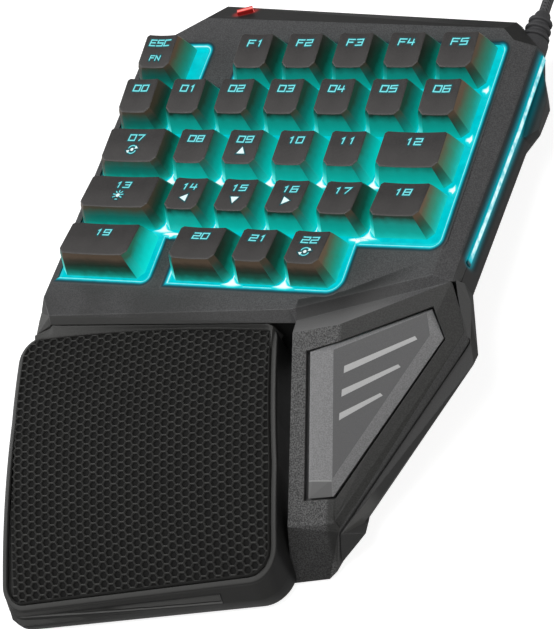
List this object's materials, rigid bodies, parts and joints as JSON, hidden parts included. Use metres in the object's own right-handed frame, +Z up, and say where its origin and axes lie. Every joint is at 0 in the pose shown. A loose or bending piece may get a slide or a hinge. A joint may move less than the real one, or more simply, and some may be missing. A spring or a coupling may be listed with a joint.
{
  "type": "gaming keypad",
  "caption": "One-handed gaming keypad: a tilted deck of backlit keys, a large faceted thumb button on a raised module, and a sliding palm rest with a honeycomb pad.",
  "frame": {"origin": "bottom centre of the keypad without its cable, on the surface it stands on", "axes": "+Z up, +Y towards the back row of keys, +X towards the thumb side; the desk is the XY plane"},
  "size_m": [0.1604, 0.3286, 0.0515],
  "materials": {
    "keycap": "satin dark grey, legends lit from below",
    "light_guide": "translucent, lit cyan",
    "dome_rubber": "matt",
    "film": "clear film, printed",
    "circuit_board": "solder mask",
    "backplate": "brushed",
    "thumb_button": "satin grey",
    "switch_plastic": "matt",
    "top_shell": "fine textured",
    "bottom_shell": "fine textured",
    "light_strip": "translucent, lit white to cyan",
    "indicator": "translucent, lit red",
    "pad": "soft, honeycomb relief",
    "cable_rubber": "matt",
    "cable_braid": "braided sleeve",
    "plug_metal": "plated",
    "screw": "zinc plated",
    "foot": "matt"
  },
  "bodies": {
    "keypad_base": {"key_frame": "light_guide", "dome_sheet": "dome_rubber", "membrane": "film", "led_board": "circuit_board", "backplate": "backplate", "controller_board": "circuit_board", "thumb_switch": "switch_plastic", "thumb_board": "circuit_board", "top_shell": "top_shell", "bottom_shell": "bottom_shell", "light_strip_right": "light_strip", "indicator_lens": "indicator", "strain_relief": "cable_rubber", "screw_1": "screw", "screw_2": "screw", "screw_3": "screw", "screw_4": "screw", "foot_1": "foot", "foot_2": "foot", "foot_3": "foot", "cable_lead": "cable_braid", "cable_coil": "cable_braid", "cable_tail": "cable_braid", "usb_plug_body": "cable_rubber", "usb_plug_shell": "plug_metal"},
    "key_esc": {"key_esc": "keycap"},
    "key_f1": {"key_f1": "keycap"},
    "key_f2": {"key_f2": "keycap"},
    "key_f3": {"key_f3": "keycap"},
    "key_f4": {"key_f4": "keycap"},
    "key_f5": {"key_f5": "keycap"},
    "key_00": {"key_00": "keycap"},
    "key_01": {"key_01": "keycap"},
    "key_02": {"key_02": "keycap"},
    "key_03": {"key_03": "keycap"},
    "key_04": {"key_04": "keycap"},
    "key_05": {"key_05": "keycap"},
    "key_06": {"key_06": "keycap"},
    "key_07": {"key_07": "keycap"},
    "key_08": {"key_08": "keycap"},
    "key_09": {"key_09": "keycap"},
    "key_10": {"key_10": "keycap"},
    "key_11": {"key_11": "keycap"},
    "key_12": {"key_12": "keycap"},
    "key_13": {"key_13": "keycap"},
    "key_14": {"key_14": "keycap"},
    "key_15": {"key_15": "keycap"},
    "key_16": {"key_16": "keycap"},
    "key_17": {"key_17": "keycap"},
    "key_18": {"key_18": "keycap"},
    "key_19": {"key_19": "keycap"},
    "key_20": {"key_20": "keycap"},
    "key_21": {"key_21": "keycap"},
    "key_22": {"key_22": "keycap"},
    "thumb_button": {"thumb_button": "thumb_button"},
    "palm_rest": {"palm_rest_base": "bottom_shell", "palm_pad": "pad", "foot_4": "foot", "foot_5": "foot"}
  },
  "joints": [
    {"name": "key_esc_press", "type": "slide", "parent": "keypad_base", "child": "key_esc", "axis": [0, -0.1219, -0.9925], "range_m": [0, 0.0035], "stiffness_N_per_m": 130, "springref_m": -0.001},
    {"name": "key_f1_press", "type": "slide", "parent": "keypad_base", "child": "key_f1", "axis": [0, -0.1219, -0.9925], "range_m": [0, 0.0035], "stiffness_N_per_m": 130, "springref_m": -0.001},
    {"name": "key_f2_press", "type": "slide", "parent": "keypad_base", "child": "key_f2", "axis": [0, -0.1219, -0.9925], "range_m": [0, 0.0035], "stiffness_N_per_m": 130, "springref_m": -0.001},
    {"name": "key_f3_press", "type": "slide", "parent": "keypad_base", "child": "key_f3", "axis": [0, -0.1219, -0.9925], "range_m": [0, 0.0035], "stiffness_N_per_m": 130, "springref_m": -0.001},
    {"name": "key_f4_press", "type": "slide", "parent": "keypad_base", "child": "key_f4", "axis": [0, -0.1219, -0.9925], "range_m": [0, 0.0035], "stiffness_N_per_m": 130, "springref_m": -0.001},
    {"name": "key_f5_press", "type": "slide", "parent": "keypad_base", "child": "key_f5", "axis": [0, -0.1219, -0.9925], "range_m": [0, 0.0035], "stiffness_N_per_m": 130, "springref_m": -0.001},
    {"name": "key_00_press", "type": "slide", "parent": "keypad_base", "child": "key_00", "axis": [0, -0.1219, -0.9925], "range_m": [0, 0.0035], "stiffness_N_per_m": 130, "springref_m": -0.001},
    {"name": "key_01_press", "type": "slide", "parent": "keypad_base", "child": "key_01", "axis": [0, -0.1219, -0.9925], "range_m": [0, 0.0035], "stiffness_N_per_m": 130, "springref_m": -0.001},
    {"name": "key_02_press", "type": "slide", "parent": "keypad_base", "child": "key_02", "axis": [0, -0.1219, -0.9925], "range_m": [0, 0.0035], "stiffness_N_per_m": 130, "springref_m": -0.001},
    {"name": "key_03_press", "type": "slide", "parent": "keypad_base", "child": "key_03", "axis": [0, -0.1219, -0.9925], "range_m": [0, 0.0035], "stiffness_N_per_m": 130, "springref_m": -0.001},
    {"name": "key_04_press", "type": "slide", "parent": "keypad_base", "child": "key_04", "axis": [0, -0.1219, -0.9925], "range_m": [0, 0.0035], "stiffness_N_per_m": 130, "springref_m": -0.001},
    {"name": "key_05_press", "type": "slide", "parent": "keypad_base", "child": "key_05", "axis": [0, -0.1219, -0.9925], "range_m": [0, 0.0035], "stiffness_N_per_m": 130, "springref_m": -0.001},
    {"name": "key_06_press", "type": "slide", "parent": "keypad_base", "child": "key_06", "axis": [0, -0.1219, -0.9925], "range_m": [0, 0.0035], "stiffness_N_per_m": 130, "springref_m": -0.001},
    {"name": "key_07_press", "type": "slide", "parent": "keypad_base", "child": "key_07", "axis": [0, -0.1219, -0.9925], "range_m": [0, 0.0035], "stiffness_N_per_m": 130, "springref_m": -0.001},
    {"name": "key_08_press", "type": "slide", "parent": "keypad_base", "child": "key_08", "axis": [0, -0.1219, -0.9925], "range_m": [0, 0.0035], "stiffness_N_per_m": 130, "springref_m": -0.001},
    {"name": "key_09_press", "type": "slide", "parent": "keypad_base", "child": "key_09", "axis": [0, -0.1219, -0.9925], "range_m": [0, 0.0035], "stiffness_N_per_m": 130, "springref_m": -0.001},
    {"name": "key_10_press", "type": "slide", "parent": "keypad_base", "child": "key_10", "axis": [0, -0.1219, -0.9925], "range_m": [0, 0.0035], "stiffness_N_per_m": 130, "springref_m": -0.001},
    {"name": "key_11_press", "type": "slide", "parent": "keypad_base", "child": "key_11", "axis": [0, -0.1219, -0.9925], "range_m": [0, 0.0035], "stiffness_N_per_m": 130, "springref_m": -0.001},
    {"name": "key_12_press", "type": "slide", "parent": "keypad_base", "child": "key_12", "axis": [0, -0.1219, -0.9925], "range_m": [0, 0.0035], "stiffness_N_per_m": 130, "springref_m": -0.001},
    {"name": "key_13_press", "type": "slide", "parent": "keypad_base", "child": "key_13", "axis": [0, -0.1219, -0.9925], "range_m": [0, 0.0035], "stiffness_N_per_m": 130, "springref_m": -0.001},
    {"name": "key_14_press", "type": "slide", "parent": "keypad_base", "child": "key_14", "axis": [0, -0.1219, -0.9925], "range_m": [0, 0.0035], "stiffness_N_per_m": 130, "springref_m": -0.001},
    {"name": "key_15_press", "type": "slide", "parent": "keypad_base", "child": "key_15", "axis": [0, -0.1219, -0.9925], "range_m": [0, 0.0035], "stiffness_N_per_m": 130, "springref_m": -0.001},
    {"name": "key_16_press", "type": "slide", "parent": "keypad_base", "child": "key_16", "axis": [0, -0.1219, -0.9925], "range_m": [0, 0.0035], "stiffness_N_per_m": 130, "springref_m": -0.001},
    {"name": "key_17_press", "type": "slide", "parent": "keypad_base", "child": "key_17", "axis": [0, -0.1219, -0.9925], "range_m": [0, 0.0035], "stiffness_N_per_m": 130, "springref_m": -0.001},
    {"name": "key_18_press", "type": "slide", "parent": "keypad_base", "child": "key_18", "axis": [0, -0.1219, -0.9925], "range_m": [0, 0.0035], "stiffness_N_per_m": 130, "springref_m": -0.001},
    {"name": "key_19_press", "type": "slide", "parent": "keypad_base", "child": "key_19", "axis": [0, -0.1219, -0.9925], "range_m": [0, 0.0035], "stiffness_N_per_m": 130, "springref_m": -0.001},
    {"name": "key_20_press", "type": "slide", "parent": "keypad_base", "child": "key_20", "axis": [0, -0.1219, -0.9925], "range_m": [0, 0.0035], "stiffness_N_per_m": 130, "springref_m": -0.001},
    {"name": "key_21_press", "type": "slide", "parent": "keypad_base", "child": "key_21", "axis": [0, -0.1219, -0.9925], "range_m": [0, 0.0035], "stiffness_N_per_m": 130, "springref_m": -0.001},
    {"name": "key_22_press", "type": "slide", "parent": "keypad_base", "child": "key_22", "axis": [0, -0.1219, -0.9925], "range_m": [0, 0.0035], "stiffness_N_per_m": 130, "springref_m": -0.001},
    {"name": "thumb_button_press", "type": "slide", "parent": "keypad_base", "child": "thumb_button", "axis": [-0.2579, 0.3487, -0.901], "range_m": [0, 0.0025], "stiffness_N_per_m": 400, "springref_m": -0.001},
    {"name": "palm_rest_slide", "type": "slide", "parent": "keypad_base", "child": "palm_rest", "axis": [0.0732, -0.9973, 0], "range_m": [0, 0.015]}
  ]
}
